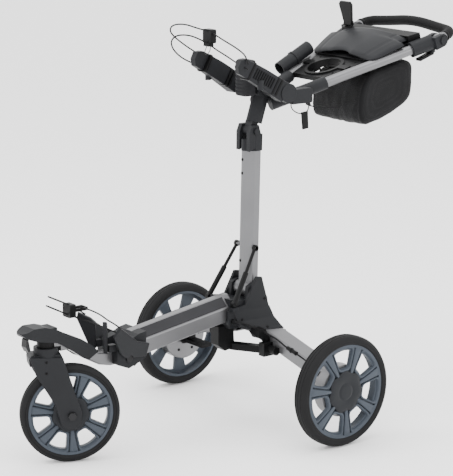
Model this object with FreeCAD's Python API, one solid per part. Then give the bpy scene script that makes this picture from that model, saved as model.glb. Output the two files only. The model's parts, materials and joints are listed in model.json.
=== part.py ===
import FreeCAD, Part
import math
import os

# Three-wheeled electric golf push cart, without a bag on it.
# Millimetres, +Z up, the cart points along -Y and its left side is +X.
# Places below are measured from the middle of the rear axle on the ground;
# save() moves them so that the origin is on the ground under the middle of the cart.

V = FreeCAD.Vector

# Driving dimensions
REAR_AXLE_Y = 93.3      # rear axle behind the origin
REAR_R = 146.0          # rear tyre radius
REAR_WIDTH = 44.0
REAR_RIM_R = 123.0
TRACK = 687.0           # between the middles of the rear tyres
FRONT_R = 126.0
FRONT_WIDTH = 40.0
FRONT_RIM_R = 107.0
SPOKES = 7
WHEEL_PHASE = -8.7      # degrees, how far the wheels stand turned
STEER_Y = -673.0        # steering axis
TRAIL = 58.6
STEER_ANGLE = -24.1     # the front wheel stands turned by this
RAIL_SLOPE = 8.7        # degrees, rising to the back
RAIL_HALF = 36.0
RAIL_FRONT, RAIL_BACK = -422.0, -108.0
RAIL_TOP_FRONT = 304.0  # top of the rail at y = -400
ARM_PIVOT = (-452.0, 240.0)
MAST_PIVOT = (-38.5, 352.0)
MAST_LEAN = 1.0
MAST_TOP = 742.0
NECK_PIVOT = (-30.0, 776.0)
NECK_LEAN = 18.0
HANDLE_RISE = 17.6      # degrees, both side tubes of the handle
HANDLE_Z = 840.0        # height of the tubes' line above the rear axle
HANDLE_HALF = 26.0      # half the distance between them there
HANDLE_SPLAY = 0.279    # growth of that half distance along the handle
TUBE_R = 13.5
CLAMP_AT = 505.5        # the tilting joint, along the handle
COLLAR_TOP = 300.0      # top of the fork head
STEM_TOP = 308.0
STEM_R = 11.0
LEG_ROOT = (54.0, -3.0, 238.0)
LEG_END = (300.0, -3.0, 177.0)
AXLE_R = 7.0
FIT = 0.05              # radial running fit
GAP = 0.4               # between pieces that move past each other
CORD_R = 2.0

REAR_X = TRACK / 2
STEER = math.radians(STEER_ANGLE)
FRONT_CENTRE = V(-math.sin(STEER) * TRAIL, STEER_Y + math.cos(STEER) * TRAIL, FRONT_R)

nodes = {}


def save(name, *shapes):
    """Keep one node: its solids, moved to the origin of the part."""
    shape = shapes[0] if len(shapes) == 1 else Part.makeCompound(shapes)
    shape = shape.copy()
    shape.translate(V(0, REAR_AXLE_Y, 0))
    nodes[name] = shape


# ---------------------------------------------------------------- helpers

def box(x0, x1, y0, y1, z0, z1):
    return Part.makeBox(x1 - x0, y1 - y0, z1 - z0, V(x0, y0, z0))


def rod(a, b, r):
    a, b = V(*a), V(*b)
    return Part.makeCylinder(r, (b - a).Length, a, b - a)


def prism(points, along):
    wire = Part.makePolygon([*points, points[0]])
    return Part.Face(wire).extrude(along)


def slab_x(yz, x0, x1):
    return prism([V(x0, y, z) for y, z in yz], V(x1 - x0, 0, 0))


def slab_y(xz, y0, y1):
    return prism([V(x, y0, z) for x, z in xz], V(0, y1 - y0, 0))


def slab_z(xy, z0, z1):
    return prism([V(x, y, z0) for x, y in xy], V(0, 0, z1 - z0))


def seat(name, *others):
    """Cut a node's solids back to where its fixed neighbours begin."""
    solids = [solid.cut([nodes[other] for other in others]) for solid in nodes[name].Solids]
    nodes[name] = solids[0] if len(solids) == 1 else Part.makeCompound(solids)


def mirrored(shape):
    return shape.mirror(V(0, 0, 0), V(1, 0, 0))


def both(shape):
    """The left shape and its mirror image."""
    return [shape, mirrored(shape)]


def turned(shape, base, axis, degrees):
    shape = shape.copy()
    shape.rotate(V(*base), V(*axis), degrees)
    return shape


def rounded(shape, r, keep):
    """The shape with the edges that keep() picks filleted."""
    return shape.makeFillet(r, [e for e in shape.Edges if keep(e)])


def along(edge, axis):
    """Whether a straight edge runs along an axis: 0, 1 or 2."""
    if not isinstance(edge.Curve, Part.Line):
        return False
    d = edge.Curve.Direction
    return abs(abs((d.x, d.y, d.z)[axis]) - 1) < 1e-6


def cord_path(points, share=0.45):
    """Straight runs joined by tangent arcs that use up a share of each shorter run."""
    p = [V(*q) for q in points]
    edges, radii, start = [], [], p[0]
    for before, corner, after in zip(p, p[1:], p[2:]):
        u, w = (before - corner), (after - corner)
        run = min(u.Length, w.Length)
        u.normalize()
        w.normalize()
        half = u.getAngle(w) / 2
        cut = share * run
        radii.append(cut * math.tan(half))
        a, b = corner + u * cut, corner + w * cut
        bisector = u + w
        bisector.normalize()
        centre = corner + bisector * (cut / math.cos(half))
        mid = centre - bisector * radii[-1]
        edges.append(Part.LineSegment(start, a).toShape())
        edges.append(Part.Arc(a, mid, b).toShape())
        start = b
    edges.append(Part.LineSegment(start, p[-1]).toShape())
    return Part.Wire(edges), radii


def cord(name, points, r=CORD_R):
    """A round cord along a route; prints its length, its arcs and its volume check."""
    wire, radii = cord_path(points)
    first = V(*points[1]) - V(*points[0])
    ring = Part.Wire(Part.makeCircle(r, V(*points[0]), first))
    solid = wire.makePipeShell([ring], True, True)
    share = solid.Volume / (math.pi * r * r * wire.Length)
    print(name, "length %.0f" % wire.Length, "volume share %.3f" % share,
          "radii", [round(x, 1) for x in radii])
    return solid


# ---------------------------------------------------------------- wheels
# Wheels are built about the X axis, outer face towards +X.

def polar(r, degrees):
    a = math.radians(degrees)
    return V(0, r * math.cos(a), r * math.sin(a))


def tyre(radius, width, rim_r):
    """A revolved tyre: bead, side wall, shoulder and crown."""
    half = width / 2
    side = [(-half + 4, rim_r), (-half, rim_r + 6), (-half, radius - 11)]
    outer = [V(x, r, 0) for x, r in side]
    tread = [V(x, r, 0) for x, r in ((-half + 8, radius - 2.5), (0, radius), (half - 8, radius - 2.5))]
    other = [V(-x, r, 0) for x, r in reversed(side)]
    shoulder = V(-half + 2, radius - 5.5, 0)
    edges = [
        Part.LineSegment(outer[0], outer[1]), Part.LineSegment(outer[1], outer[2]),
        Part.Arc(outer[2], shoulder, tread[0]), Part.Arc(*tread),
        Part.Arc(tread[2], V(-shoulder.x, shoulder.y, 0), other[0]),
        Part.LineSegment(other[0], other[1]), Part.LineSegment(other[1], other[2]),
        Part.LineSegment(other[2], outer[0]),
    ]
    face = Part.Face(Part.Wire([e.toShape() for e in edges]))
    return face.revolve(V(0, 0, 0), V(1, 0, 0), 360)


def window(rim_r, x0, x1, angle):
    """One rounded triangular opening between two spokes, as a cutter."""
    inner, outer, spread = 0.46 * rim_r, 0.87 * rim_r, 15.5
    a, b = polar(outer, angle - spread), polar(outer, angle + spread)
    c, d = polar(inner + 8, angle + spread), polar(inner + 8, angle - spread)
    tip, top = polar(inner, angle), polar(outer + 2, angle)
    wire = Part.Wire([
        Part.Arc(a, top, b).toShape(), Part.LineSegment(b, c).toShape(),
        Part.Arc(c, tip, d).toShape(), Part.LineSegment(d, a).toShape()])
    cutter = Part.Face(wire).extrude(V(x1 - x0, 0, 0))
    cutter.translate(V(x0, 0, 0))
    return cutter


def rim(rim_r, width, disc, hub_r, hub_x, bore_r):
    """Rim ring, spoked disc between the disc's two x values, raised spokes and hub."""
    half = width / 2 - 4
    ring = rod((-half, 0, 0), (half, 0, 0), rim_r).cut(rod((-half - 1, 0, 0), (half + 1, 0, 0), rim_r - 7))
    web = rod((disc[0], 0, 0), (disc[1], 0, 0), rim_r - 6)
    step = 360.0 / SPOKES
    for k in range(SPOKES):
        web = web.cut(window(rim_r, disc[0] - 1, disc[1] + 1, k * step + WHEEL_PHASE))
    body = ring.fuse(web).fuse(rod((hub_x[0], 0, 0), (hub_x[1], 0, 0), hub_r))
    for k in range(SPOKES):
        angle = (k + 0.5) * step + WHEEL_PHASE
        bar = prism([V(disc[1] - 1, 0.36 * rim_r, -4), V(disc[1] - 1, rim_r - 6.5, -11),
                     V(disc[1] - 1, rim_r - 6.5, 11), V(disc[1] - 1, 0.36 * rim_r, 4)], V(3.5, 0, 0))
        body = body.fuse(turned(bar, (0, 0, 0), (1, 0, 0), angle))
    bore = rod((hub_x[0] - 1, 0, 0), (hub_x[1] + 1, 0, 0), bore_r)
    return body.cut(bore).removeSplitter()


def rear_wheel():
    """Tyre, rim, hub cap and hub motor of a left rear wheel, at its place."""
    motor_r, motor_in, motor_out = 68.0, -30.0, 4.0
    wheel_rim = rim(REAR_RIM_R, REAR_WIDTH, (4.0, 12.0), 0.42 * REAR_RIM_R, (4.0, 13.0), 14.0)
    motor = rod((motor_in, 0, 0), (motor_out, 0, 0), motor_r)
    motor = rounded(motor, 4, lambda e: abs(e.CenterOfMass.x - motor_in) < 0.1)
    motor = motor.fuse(rod((motor_in - 5, 0, 0), (motor_in + 1, 0, 0), 22))
    motor = motor.cut(rod((motor_in - 6, 0, 0), (motor_out - 5, 0, 0), AXLE_R + FIT))
    cap = rod((13.0, 0, 0), (18.0, 0, 0), 0.38 * REAR_RIM_R)
    cap = rounded(cap, 3, lambda e: abs(e.CenterOfMass.x - 18.0) < 0.1)
    cap = cap.fuse(rod((5.0, 0, 0), (14.0, 0, 0), 13.9)).removeSplitter().cut(wheel_rim)
    pieces = {"rear_tyre": tyre(REAR_R, REAR_WIDTH, REAR_RIM_R), "rear_rim": wheel_rim,
              "hub_motor": motor, "hub_cap": cap}
    for shape in pieces.values():
        shape.translate(V(REAR_X, 0, REAR_R))
    return pieces


def make_rear_wheels():
    for name, shape in rear_wheel().items():
        save(name + "_left", shape)
        save(name + "_right", mirrored(shape))


def at_front_wheel(shape):
    """Move a shape built about the X axis at the origin to the front wheel."""
    shape = turned(shape, (0, 0, 0), (0, 0, 1), STEER_ANGLE)
    shape.translate(FRONT_CENTRE)
    return shape


def make_front_wheel():
    hub_half = 22.0
    front_rim = rim(FRONT_RIM_R, FRONT_WIDTH, (-6.0, 8.0), 0.40 * FRONT_RIM_R,
                    (-hub_half + 6, hub_half - 6), AXLE_R + FIT)
    hub = rod((-hub_half, 0, 0), (hub_half, 0, 0), 18)
    hub = hub.cut(rod((-hub_half - 1, 0, 0), (hub_half + 1, 0, 0), AXLE_R + FIT))
    save("front_tyre", at_front_wheel(tyre(FRONT_R, FRONT_WIDTH, FRONT_RIM_R)))
    save("front_rim", at_front_wheel(front_rim.fuse(hub).removeSplitter()))


# ---------------------------------------------------------------- fork

def make_fork():
    """Fork blades, crown, head and stem; heights are measured from the front axle."""
    blade_in, blade_out = 25.0, 33.0
    blade = slab_x([(-104, 156), (-88, 109), (-42, 31), (-27, -22), (-14, -36), (8, -36),
                    (24, -20), (26, 8), (14, 42), (-14, 130), (-20, 150)], blade_in, blade_out)
    blade = rounded(blade, 2.5, lambda e: abs(e.CenterOfMass.x - blade_out) < 0.1)
    crown = slab_x([(-102, 131), (-104, 150), (-98, 158), (-24, 158), (-19, 146), (-24, 131)],
                   -blade_in, blade_in)
    head = rod((0, -TRAIL, 150), (0, -TRAIL, COLLAR_TOP - FRONT_R), 31)
    stem = rod((0, -TRAIL, 150), (0, -TRAIL, STEM_TOP - FRONT_R), STEM_R)
    body = crown.fuse([blade, mirrored(blade), head, stem]).removeSplitter()
    save("fork", at_front_wheel(body.cut(rod((-40, 0, 0), (40, 0, 0), AXLE_R))))
    axle = rod((-40, 0, 0), (40, 0, 0), AXLE_R)
    nut = prism([V(33, 11 * math.cos(math.radians(a)), 11 * math.sin(math.radians(a)))
                 for a in range(0, 360, 60)], V(8, 0, 0))
    save("front_axle", at_front_wheel(axle.fuse([nut, mirrored(nut)]).removeSplitter()))


# ---------------------------------------------------------------- front arm

def make_front_arm():
    py, pz = ARM_PIVOT
    arm = slab_x([(-660, 328), (-622, 312), (-585, 294), (-556, 274), (-524, 263), (-500, 259), (py, pz + 17),
                  (py, pz - 17), (-490, 222), (-524, 230), (-560, 250), (-600, 277), (-615, 286), (-640, 286),
                  (-641, COLLAR_TOP + GAP), (-660, COLLAR_TOP + GAP)], -19, 19)
    arm = rounded(arm, 5, lambda e: abs(abs(e.CenterOfMass.x) - 19) < 0.1 and -640 < e.CenterOfMass.y < py - 1)
    knuckle = rod((-19, py, pz), (19, py, pz), 17)
    head = rod((0, STEER_Y, COLLAR_TOP + GAP), (0, STEER_Y, 326), 22)
    bore = rod((0, STEER_Y, 250), (0, STEER_Y, STEM_TOP + 1), STEM_R + FIT)
    pin_bore = rod((-30, py, pz), (30, py, pz), 5 + FIT)
    save("steering_head", head.cut(bore))
    save("front_arm", arm.fuse(knuckle).removeSplitter().cut(head).cut(bore).cut(pin_bore))
    top = [(-738, 350), (-722, 357), (-690, 356), (-655, 345), (-622, 327), (-583, 309), (-553, 289), (-532, 269)]
    bottom = [(-562, 252), (-576, 258), (-603, 278), (-640, 303), (-655, 311), (-712, 323), (-738, 333), (-752, 345)]
    cover = slab_x(top + bottom, -26, 26)
    cover = cover.cut(box(-30, 30, -760, -726, 300, 370).cut(rod((0, -726, 300), (0, -726, 370), 26)))
    inner = slab_x([(-728, 316), (-722, 352), (-690, 352), (-657, 341), (-624, 323), (-585, 305), (-556, 286),
                    (-537, 268), (-566, 236), (-604, 266), (-655, 300)], -22.5, 22.5)
    inner = inner.common(rod((0, -706, 200), (0, -706, 400), 22.5).fuse(box(-30, 30, -706, -500, 200, 400)))
    cover = cover.cut(inner).cut(box(-19.2, 19.2, -600, -520, 200, 262))
    rib = box(-22.5, 22.5, STEER_Y - 20, STEER_Y + 20, 326, 350)
    save("nose_cover", cover.fuse(rib).removeSplitter())
    seat("nose_cover", "front_arm", "steering_head")
    lever = slab_x([(-735, 327), (-729, 325), (-724, 300), (-730, 296), (-737, 310)], -11, 11)
    save("swivel_lock", lever.fuse(rod((-11, -732, 326.6), (11, -732, 326.6), 3.2)).removeSplitter())


# ---------------------------------------------------------------- rail and front bracket

def rail_z(y):
    """Height of the rail's flat top."""
    return RAIL_TOP_FRONT + (y + 400) * math.tan(math.radians(RAIL_SLOPE))


def rail_section(inset=0.0):
    """Outline across the rail, x and depth below the flat top."""
    w, k = RAIL_HALF - inset, inset
    return [(-10, -k), (10, -k), (w, -27), (w, -65 + k), (-w, -65 + k), (-w, -27)]


def rail_bar(inset=0.0, y0=RAIL_FRONT, y1=RAIL_BACK):
    points = [V(x, y0, rail_z(y0) + z) for x, z in rail_section(inset)]
    return prism(points, V(0, y1 - y0, rail_z(y1) - rail_z(y0)))


def make_rail():
    rail = rounded(rail_bar(), 4, lambda e: e.Length > 300)
    save("rail", rail.cut(rail_bar(3.0, RAIL_FRONT - 1, RAIL_BACK + 1)))
    strips = []
    for side in (1, -1):
        y0, y1 = RAIL_FRONT + 26, RAIL_BACK - 22
        across = V(side * 22, 0, -22.8)
        across.normalize()
        out = V(across.z * -side, 0, across.x * side)
        start = V(side * 12.5, y0, rail_z(y0) - 2.1) + out * 0.1
        wire = [start, start + across * 29, start + across * 29 + out * 1.6, start + out * 1.6]
        strips.append(prism(wire, V(0, y1 - y0, rail_z(y1) - rail_z(y0))))
    save("rail_trim", *strips)


def make_front_bracket():
    """The bracket on the rail's front end, its hinge pin, the wings and the base arms."""
    py, pz = ARM_PIVOT
    cheek = slab_x([(-486, 228), (-488, 266), (-470, 284), (-423, 296), (-423, 224), (-452, 214)], 19.5, 44)
    back = slab_x([(-432, 224), (-432, 294), (RAIL_FRONT, 299), (RAIL_FRONT, 224)], -44, 44)
    sleeve = slab_x([(RAIL_FRONT, 299), (-398, 303.5), (-398, 234), (RAIL_FRONT, 224)], -44, 44)
    sleeve = sleeve.cut(rail_bar())
    body = back.fuse([cheek, mirrored(cheek), sleeve]).removeSplitter()
    pin = rod((-45, py, pz), (45, py, pz), 5)
    save("rail_end_bracket", body.cut(pin))
    pin = pin.fuse([rod((44, py, pz), (48, py, pz), 9), rod((-48, py, pz), (-44, py, pz), 9)])
    pivot = (0, MAST_PIVOT[0], MAST_PIVOT[1])
    mast_pin = rod((-41, pivot[1], pivot[2]), (41, pivot[1], pivot[2]), 6)
    pins = [pin.removeSplitter(), mast_pin]
    wing = slab_x([(-400, 278), (-400, 240), (-466, 246), (-484, 262), (-520, 320), (-506, 346), (-440, 292)],
                  44.5, 51)
    wing = rounded(wing, 2, lambda e: abs(e.CenterOfMass.x - 51) < 0.1)
    wing = turned(wing, (44.5, 0, 246), (0, 1, 0), 21)
    wing = wing.cut(box(-44.3, 44.3, -540, -390, 200, 400)).cut(rod((40, py, pz), (60, py, pz), 9.5))
    save("bag_wings", *both(wing))
    arm = slab_y([(0, 262), (0, 330), (14, 341), (46, 353), (49, 338), (14, 262)], -5, 5)
    arm = rounded(arm, 2, lambda e: abs(e.CenterOfMass.y + 5) < 0.1)
    arm = turned(arm, (0, 0, 0), (0, 0, 1), -38)
    arm.translate(V(22, -508, 0))
    link = slab_z([(24, -487.5), (40, -487.5), (38, -508), (22, -506)], 264, 282)
    base_arm = arm.fuse(link).removeSplitter()
    save("base_arms", *both(base_arm))
    seat("base_arms", "rail_end_bracket")
    latch = slab_x([(-417, 215), (-402, 221), (-402, 213), (-413, 206), (-417, 208)], -14, 14)
    save("front_latch", latch.fuse(rod((-14, -402, 217), (14, -402, 217), 4)).removeSplitter())
    return pins


# ---------------------------------------------------------------- housing, legs, under frame

def make_housing():
    py, pz = MAST_PIVOT
    block = slab_x([(-124, 262), (-124, 340), (-60, 330), (2, 330), (8, 290), (8, 258)], -41.6, 41.6)
    cheek = slab_x([(-68, 320), (-62, 366), (-44, 374), (-22, 374), (2, 330)], 28.2, 41.6)
    block = block.fuse([cheek, mirrored(cheek)])
    block = block.cut(rail_bar(0.0, RAIL_FRONT, RAIL_BACK))
    block = block.cut(rod((-28, py, pz), (28, py, pz), 25.5))
    slot = slab_x([(py, 345), (-130, 345), (-130, 420), (20, 420), (20, 335), (py, 335)], -28.2, 28.2)
    block = block.cut(slot).cut(rod((-41, py, pz), (41, py, pz), 6))
    save("housing", block.removeSplitter())
    wing = slab_x([(-24, 390), (-41, 392), (-63, 352), (-80, 322), (-136, 314), (-136, 276),
                   (-60, 262), (10, 262), (2, 305)], 42, 50)
    levels = [(308, -118, -118, 50, 3, 50), (280, -112, -108, 53, 12, 58), (258, -90, -78, 64, 22, 76),
              (246, -60, -48, 80, 28, 90), (228, -48, -40, 88, 29, 96)]
    sections = []
    for z, front_in, front_out, x_front, back, x_back in levels:
        sections.append(Part.makePolygon([V(42, front_in, z), V(x_front, front_out, z), V(x_back, back, z),
                                          V(42, back, z), V(42, front_in, z)]))
    skirt = Part.makeLoft(sections, True, True)
    foot = slab_x([(-130, 312), (-112, 312), (-112, 322), (-130, 322)], 47, 62)
    body = wing.fuse([skirt, foot]).removeSplitter().cut(leg_bar(0.4, -10))
    save("housing_wings", *both(body))


def leg_bar(grow=0.0, start=0.0):
    """A leg tube's outside: 60 deep and 38 high, sloping from the housing to the wheel."""
    a, b = V(*LEG_ROOT), V(*LEG_END)
    d = (b - a).normalize()
    up = V(0, 1, 0).cross(d) * -1
    up = up if up.z > 0 else up * -1
    half_y, half_z = 30 + grow, 19 + grow
    corner = [(-half_y, -half_z), (half_y, -half_z), (half_y, half_z), (-half_y, half_z)]
    wire = [a + d * start + V(0, y, 0) + up * z for y, z in corner]
    return prism(wire, d * ((b - a).Length - start))


def make_legs(pins):
    leg = rounded(leg_bar(), 7, lambda e: e.Length > 200)
    leg = leg.cut(leg_bar(-3.0, -5).cut(box(290, 320, -60, 60, 100, 300)))
    leg = leg.cut(box(0, 42.5, -60, 60, 150, 300))
    save("legs", *both(leg))
    mount = slab_x([(-26, 142), (-16, 126), (16, 126), (26, 142), (30, 192), (-42, 192), (-42, 160)], 300.5, 308)
    plate = box(216, 301, -17, 17, 132, 142).fuse(box(288, 301, -17, 17, 132, 160))
    mount = mount.fuse(plate).removeSplitter().cut(rod((280, 0, REAR_R), (320, 0, REAR_R), AXLE_R))
    axle = rod((290, 0, REAR_R), (REAR_X - 2, 0, REAR_R), AXLE_R)
    nut = prism([V(280, 11 * math.cos(math.radians(a)), REAR_R + 11 * math.sin(math.radians(a)))
                 for a in range(0, 360, 60)], V(8, 0, 0))
    shaft = axle.fuse(rod((285, 0, REAR_R), (291, 0, REAR_R), AXLE_R)).fuse(nut)
    save("axles_and_pins", *both(shaft.removeSplitter()), *pins)
    save("axle_mounts", *both(mount))
    seat("axle_mounts", "legs", "axles_and_pins")


def make_under_frame():
    post = slab_x([(-142, 214), (-142, 264), (-92, 270), (-88, 200), (-120, 196)], -16, 16)
    bar = slab_z([(0, -102), (0, -84), (88, -30), (104, -30), (104, -50), (20, -100)], 196, 214)
    block = box(86, 108, -62, -22, 190, 226)
    brace = slab_x([(-70, 262), (-48, 262), (-26, 222), (-48, 222)], 86, 96)
    strut = slab_y([(50, 262), (50, 252), (86, 240), (96, 240), (96, 262)], -70, -48)
    body = post.fuse([bar, mirrored(bar), block, mirrored(block), brace, mirrored(brace), strut, mirrored(strut)])
    peg = rod((108, -42, 208), (136, -42, 208), 11)
    save("under_frame", body.removeSplitter(), *both(peg))


# ---------------------------------------------------------------- mast and struts

def mast_y(z):
    return MAST_PIVOT[0] + (z - MAST_PIVOT[1]) * math.tan(math.radians(MAST_LEAN))


def mast_outline(inset=0.0):
    """Outline across the mast, x and distance in front of its middle line."""
    w = 27 - inset
    return [(-4, 21 - inset), (4, 21 - inset), (w, 0), (w, -20 + inset), (-w, -20 + inset), (-w, 0)]


def mast_bar(z0, z1, inset=0.0):
    points = [V(x, mast_y(z0) - f, z0) for x, f in mast_outline(inset)]
    return prism(points, V(0, mast_y(z1) - mast_y(z0), z1 - z0))


def make_mast():
    py, pz = MAST_PIVOT
    mast = rounded(mast_bar(pz + 8, MAST_TOP), 3, lambda e: e.Length > 300)
    mast = mast.cut(mast_bar(pz + 40, MAST_TOP + 1, 2.6))
    knuckle = rod((-27, py, pz), (27, py, pz), 20)
    mast = mast.fuse(knuckle).removeSplitter().cut(rod((-30, py, pz), (30, py, pz), 6 + FIT))
    pegs = [rod((s * 26, -38, 467.7), (s * 33, -38, 467.7), 5) for s in (1, -1)]
    save("mast", mast.fuse(pegs).removeSplitter())
    ny, nz = NECK_PIVOT
    collar = mast_bar(724, 768, -1.6).cut(mast_bar(700, MAST_TOP, 0))
    ear = slab_x([(-52, 724), (-52, 772), (-44, nz + 16), (-22, nz + 16), (-12, 762), (-17, 740)], 14.3, 28)
    body = collar.fuse([ear, mirrored(ear)]).cut(box(-14.3, 14.3, -80, 20, 754, 800))
    body = body.cut(rod((-30, ny, nz), (30, ny, nz), 6 + FIT))
    return body.removeSplitter().cut(mast_bar(700, MAST_TOP, 0))


def make_struts():
    top, foot = V(37.5, -38.5, 467.7), V(54.6, -120.5, 331)
    d = (foot - top).normalize()
    eye = rod((33.3, -38, 467.7), (43, -38, 467.7), 8).cut(rod((30, -38, 467.7), (50, -38, 467.7), 5 + FIT))
    thin = rod(tuple(top + d * 6), tuple(top + d * 92), 4.5)
    thick = rod(tuple(top + d * 70), tuple(foot), 7)
    strut = thin.cut(rod((30, -38, 467.7), (50, -38, 467.7), 5 + FIT)).fuse(eye)
    strut = strut.fuse([thick, rod((48.5, -120.5, 331), (60, -120.5, 331), 8)]).removeSplitter()
    strut = strut.cut(rod((20, -38, 467.7), (33.3, -38, 467.7), 12))
    save("strut_left", strut)
    save("strut_right", mirrored(strut))


# ---------------------------------------------------------------- cables and front cords

def make_cables():
    """The two motor cables, each with its plug, from the housing to the axle mount."""
    route = [(54, -121, 284), (58, -100, 279), (66, -76, 269), (101, -46, 250), (134, -39, 240),
             (162, -39, 230), (191, -39, 223), (225, -39, 216), (262, -38, 205), (284, -37, 190),
             (302, -37, 176)]
    cable = cord("motor_cable", route, 2.5)
    plug = rod((176, -39, 226.6), (212, -39, 219.1), 5.5)
    plug = plug.fuse(rod((190, -39, 223.7), (194, -39, 222.9), 7)).removeSplitter().cut(cable)
    gland = rod((50.1, -121, 284), (56, -121, 284), 7).cut(cable)
    save("motor_cables", *both(cable))
    save("cable_plugs", plug, gland, mirrored(plug), mirrored(gland))
    seat("axle_mounts", "motor_cables")
    seat("housing_wings", "motor_cables")
    seat("under_frame", "housing", "housing_wings", "legs", "motor_cables")


def make_lower_cords():
    """Two elastic strands from wing to wing, with the hook block that rides on them."""
    upper = [(-77, -501, 338), (-84, -520, 352), (-88, -545, 367.5), (-90, -571, 380.5), (-90, -597, 393.5),
             (-79, -614, 402), (-64, -614, 402), (-55, -597, 393.5), (-55, -572, 381), (-55, -548, 371), (-40, -533, 368),
             (-8, -525, 365), (28, -524, 361), (52, -522.5, 353.5), (72, -517, 348), (80, -501, 334)]
    lower = [(-70, -501, 322), (-79, -520, 331), (-86, -547, 342), (-90, -574, 355.5), (-90, -602, 370),
             (-79, -620, 379.5), (-64, -620, 379.5), (-55, -602, 370), (-55, -575, 355.5), (-55, -549, 343), (-38, -530, 336),
             (-6, -521, 332), (28, -519, 330), (52, -516, 328), (70, -501, 320)]
    a, b = cord("lower_cord_a", upper), cord("lower_cord_b", lower)
    block = rounded(box(-76, -42, -571, -553, 345, 379), 4, lambda e: along(e, 1))
    frame = box(-74, -46, -553, -514, 350, 374).cut(box(-70, -50, -556, -518, 340, 380))
    hook = block.fuse(frame.common(box(-80, -40, -554, -512, 358, 366))).removeSplitter()
    save("lower_hook", hook.cut([a, b]))
    save("lower_cord_a", a)
    save("lower_cord_b", b)
    seat("base_arms", "lower_cord_a", "lower_cord_b")
    seat("bag_wings", "lower_cord_a", "lower_cord_b")


# ---------------------------------------------------------------- neck and upper bracket

def make_neck(collar):
    ny, nz = NECK_PIVOT
    points = [V(x, ny - f, nz + 23) for x, f in mast_outline(3.5)]
    tube = rounded(prism(points, V(0, 0, 68)), 3, lambda e: along(e, 2))
    tongue = box(-13.9, 13.9, ny - 10, ny + 10, nz, nz + 24)
    neck = tube.fuse([tongue, rod((-13.9, ny, nz), (13.9, ny, nz), 13.5)]).removeSplitter()
    neck = neck.cut(rod((-20, ny, nz), (20, ny, nz), 6 + FIT))
    save("neck", turned(neck, (0, ny, nz), (1, 0, 0), -NECK_LEAN))
    pin = rod((-29, ny, nz), (29, ny, nz), 6)
    knobs = [rod((28.7, ny, nz), (33, ny, nz), 9), rod((-33, ny, nz), (-28.7, ny, nz), 9)]
    save("mast_collar", collar, pin.fuse(knobs).removeSplitter())
    cap = points[:]
    cap = turned(prism([p + V(0, 0, 68) for p in cap], V(0, 0, 4)), (0, ny, nz), (1, 0, 0), -NECK_LEAN)
    return turned(prism(points, V(0, 0, 68)), (0, ny, nz), (1, 0, 0), -NECK_LEAN), cap


def make_upper_bracket(collar):
    neck_solid, cap = make_neck(collar)
    saddle = slab_x([(-22, 869), (-22, 898), (24, 904), (52, 876), (52, 848), (26, 842), (22, 860)], -26, 26)
    cross = rod((-81.6, 4, 884), (81.6, 4, 884), 15.5)
    prop = box(-15, 15, -25, -5, 874, 892)
    sockets = [handle_rod(14, 100, 17.5, side) for side in (1, -1)]
    body = saddle.fuse([cap, cross, prop, *sockets]).removeSplitter()
    body = body.cut([handle_rod(40, 520, TUBE_R + 0.02, side) for side in (1, -1)])
    bracket = body.cut(neck_solid)
    pad = slab_x([(-25, 868), (-54, 870), (-64, 880), (-66, 915), (-62, 952), (-52, 962), (-25, 962)], -25, 25)
    pad = rounded(pad, 6, lambda e: abs(abs(e.CenterOfMass.x) - 25) < 0.1 and e.CenterOfMass.y < -26)
    save("rest_pad", pad)
    arm = slab_x([(-16, 863), (8, 909), (-60, 949), (-122, 981), (-139, 980), (-149, 962), (-146, 944),
                  (-132, 936), (-74, 901)], 82, 117)
    arm = rounded(arm, 4, lambda e: abs(e.CenterOfMass.x - 99.5) > 17 and e.CenterOfMass.y < -20)
    arm = turned(arm, (99, -3, 900), (0, 0, 1), -6)
    drum = rod((82, 4, 884), (118, 4, 884), 25)
    knob = rod((108, -84, 900), (108, -84, 925), 8)
    arm = arm.fuse([drum, knob]).removeSplitter().cut(box(60, 81.8, -200, 60, 850, 1000))
    a, b = make_upper_cords()
    save("upper_arm_left", arm.cut([a, b]))
    save("upper_arm_right", mirrored(arm).cut([a, b]))
    loop = cord("loop_cord", [(97, 29, 860), (97, 26.5, 848), (97, 33, 836), (97, 47, 827), (97, 62, 822.5),
                              (97, 77, 823), (97, 87, 831), (97, 89, 844), (97, 83, 858)], 1.5)
    block = rounded(box(84, 110, 24, 90, 852, 890), 5, lambda e: along(e, 0) and e.CenterOfMass.y > 50)
    block = block.cut(rod((80, 4, 884), (120, 4, 884), 25)).cut(loop)
    sleeves = [flat_rod(100.5, 173, 17, side).cut(flat_rod(90, 190, TUBE_R + 0.02, side)) for side in (1, -1)]
    save("head_bracket", bracket, block, *[tilted(sleeve) for sleeve in sleeves])
    tag = slab_x([(64, 826), (84, 828), (87, 783), (69, 781)], 94.5, 99.5)
    save("loop_tag", tag.cut(loop))
    return a, b, loop


def make_upper_cords():
    upper = [(-114, -112, 970), (-116, -135, 983), (-114, -166, 1002), (-110, -196, 1022), (-107, -212, 1039),
             (-99, -207, 1054), (-86, -178, 1055), (-72, -148, 1043), (-56, -120, 1034.5), (-34, -116, 1026),
             (-6, -115.5, 1017), (30, -116.5, 1008), (64, -119, 999), (92, -124, 990.5), (108, -130, 981),
             (112, -128, 968)]
    lower = [(-113, -122, 943), (-116, -148, 954), (-116, -176, 970.5), (-113, -198, 991), (-109, -206, 1011),
             (-100, -195, 1026), (-84, -166, 1026), (-70, -140, 1014), (-54, -121, 1000), (-28, -118.5, 989),
             (8, -118, 979), (40, -120, 970), (74, -126, 963.5), (104, -133, 960), (114, -129, 956)]
    a, b = cord("upper_cord_a", upper), cord("upper_cord_b", lower)
    block = rounded(box(-78, -44, -126, -108, 1004, 1040), 4, lambda e: along(e, 1))
    foot = box(-72, -50, -128, -112, 996, 1004)
    hook = block.fuse(foot).removeSplitter()
    save("upper_hook", hook.cut([a, b]))
    return a, b


# ---------------------------------------------------------------- handle
# Handle pieces are built flat, y along the handle and z above its tubes, then tilted.

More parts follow.
